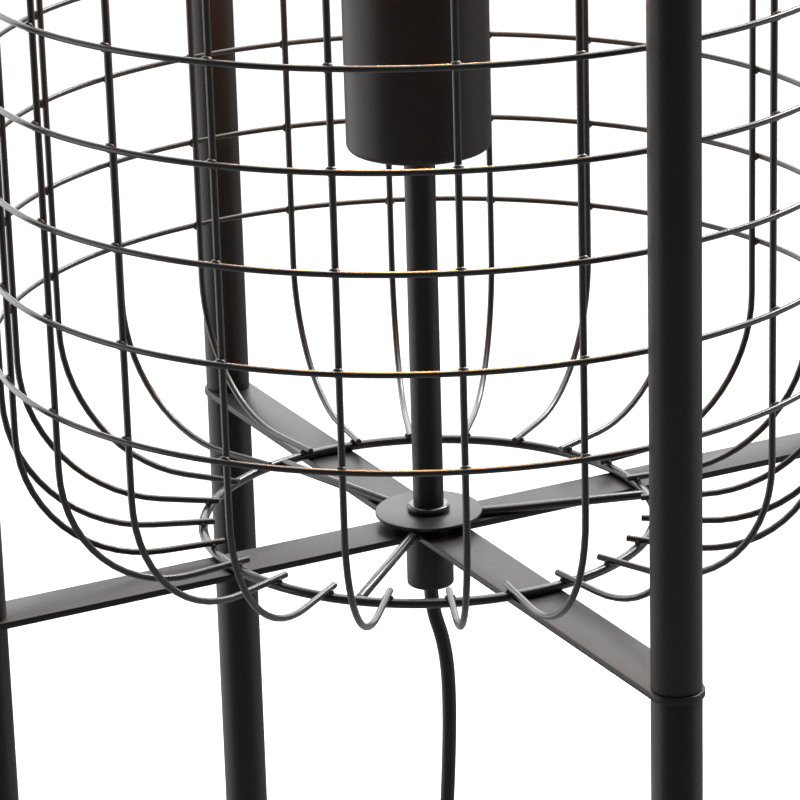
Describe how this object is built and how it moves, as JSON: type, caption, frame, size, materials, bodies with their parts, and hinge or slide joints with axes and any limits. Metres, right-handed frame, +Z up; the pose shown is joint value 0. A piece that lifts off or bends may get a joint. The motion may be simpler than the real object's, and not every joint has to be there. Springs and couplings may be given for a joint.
{
  "type": "floor lamp",
  "caption": "Black floor lamp: a round wire cage between two flat-bar crosses on tubular legs, with a bulb on a central stem inside.",
  "frame": {"origin": "on the floor, midway between the four feet", "axes": "+Z up the lamp; the legs stand on the diagonals of X and Y, and the cord runs back towards +Y"},
  "size_m": [0.3625, 0.5663, 1.321],
  "materials": {
    "black_coat": "fine-textured satin black powder coat",
    "wire_coat": "smooth satin black powder coat on drawn wire",
    "plated_steel": "bright zinc plate",
    "foot_plastic": "moulded black plastic",
    "holder_resin": "black thermoset resin",
    "plain_brass": "pressed brass",
    "cap_metal": "nickelled brass, thinly plated",
    "cap_insulator": "opaque black glass",
    "amber_glass": "clear amber-tinted blown glass",
    "clear_glass": "clear pressed glass",
    "filament_wire": "nickel wire",
    "filament_glow": "phosphor-coated filament, lit",
    "cord_jacket": "extruded black sheath, faint sheen",
    "moulded_black": "moulded black plastic, fine spark texture",
    "switch_works": "natural moulded plastic",
    "pin_metal": "nickel plate"
  },
  "bodies": {
    "frame": {"leg_1": "black_coat", "leg_2": "black_coat", "leg_3": "black_coat", "leg_4": "black_coat", "pole_1": "black_coat", "pole_2": "black_coat", "pole_3": "black_coat", "pole_4": "black_coat", "cap_screws": "black_coat", "lower_cross": "black_coat", "upper_cross": "black_coat", "cage_hub_disc": "black_coat", "stem_collar": "black_coat", "stem_tube": "black_coat", "cord_outlet": "black_coat", "sleeve": "black_coat", "cage_hoop_01": "wire_coat", "cage_hoop_02": "wire_coat", "cage_hoop_03": "wire_coat", "cage_hoop_04": "wire_coat", "cage_hoop_05": "wire_coat", "cage_hoop_06": "wire_coat", "cage_hoop_07": "wire_coat", "cage_hoop_08": "wire_coat", "cage_hoop_09": "wire_coat", "cage_hoop_10": "wire_coat", "cage_low_ring": "wire_coat", "cage_high_ring": "wire_coat", "cage_uprights": "wire_coat", "cage_spokes": "wire_coat", "leg_plugs": "plated_steel", "pole_top_plugs": "plated_steel", "pole_studs": "plated_steel", "threaded_conduit": "plated_steel", "conduit_nut": "plated_steel", "feet": "foot_plastic", "lampholder": "holder_resin", "cord_bush": "holder_resin", "holder_screw_shell": "plain_brass", "holder_contact": "plain_brass", "inner_cable": "cord_jacket", "cord_drop": "cord_jacket", "cord_lead": "cord_jacket", "cord_coil": "cord_jacket", "cord_tail": "cord_jacket", "switch_base": "moulded_black", "switch_cover": "moulded_black", "plug_body": "moulded_black", "switch_core": "switch_works", "plug_pins": "pin_metal"},
    "bulb": {"bulb_tip_contact": "plain_brass", "bulb_insulator": "cap_insulator", "bulb_screw_cap": "cap_metal", "bulb_glass": "amber_glass", "bulb_stem": "clear_glass", "bulb_crowns": "filament_wire", "bulb_filaments": "filament_glow"},
    "foot_button": {"switch_button": "moulded_black"}
  },
  "joints": [
    {"name": "bulb_unscrew", "type": "slide", "parent": "frame", "child": "bulb", "axis": [0, 0, 1], "range_m": [0, 0.018]},
    {"name": "button_press", "type": "slide", "parent": "frame", "child": "foot_button", "axis": [0, 0, -1], "range_m": [0, 0.003], "stiffness_N_per_m": 2000, "springref_m": -0.002}
  ]
}
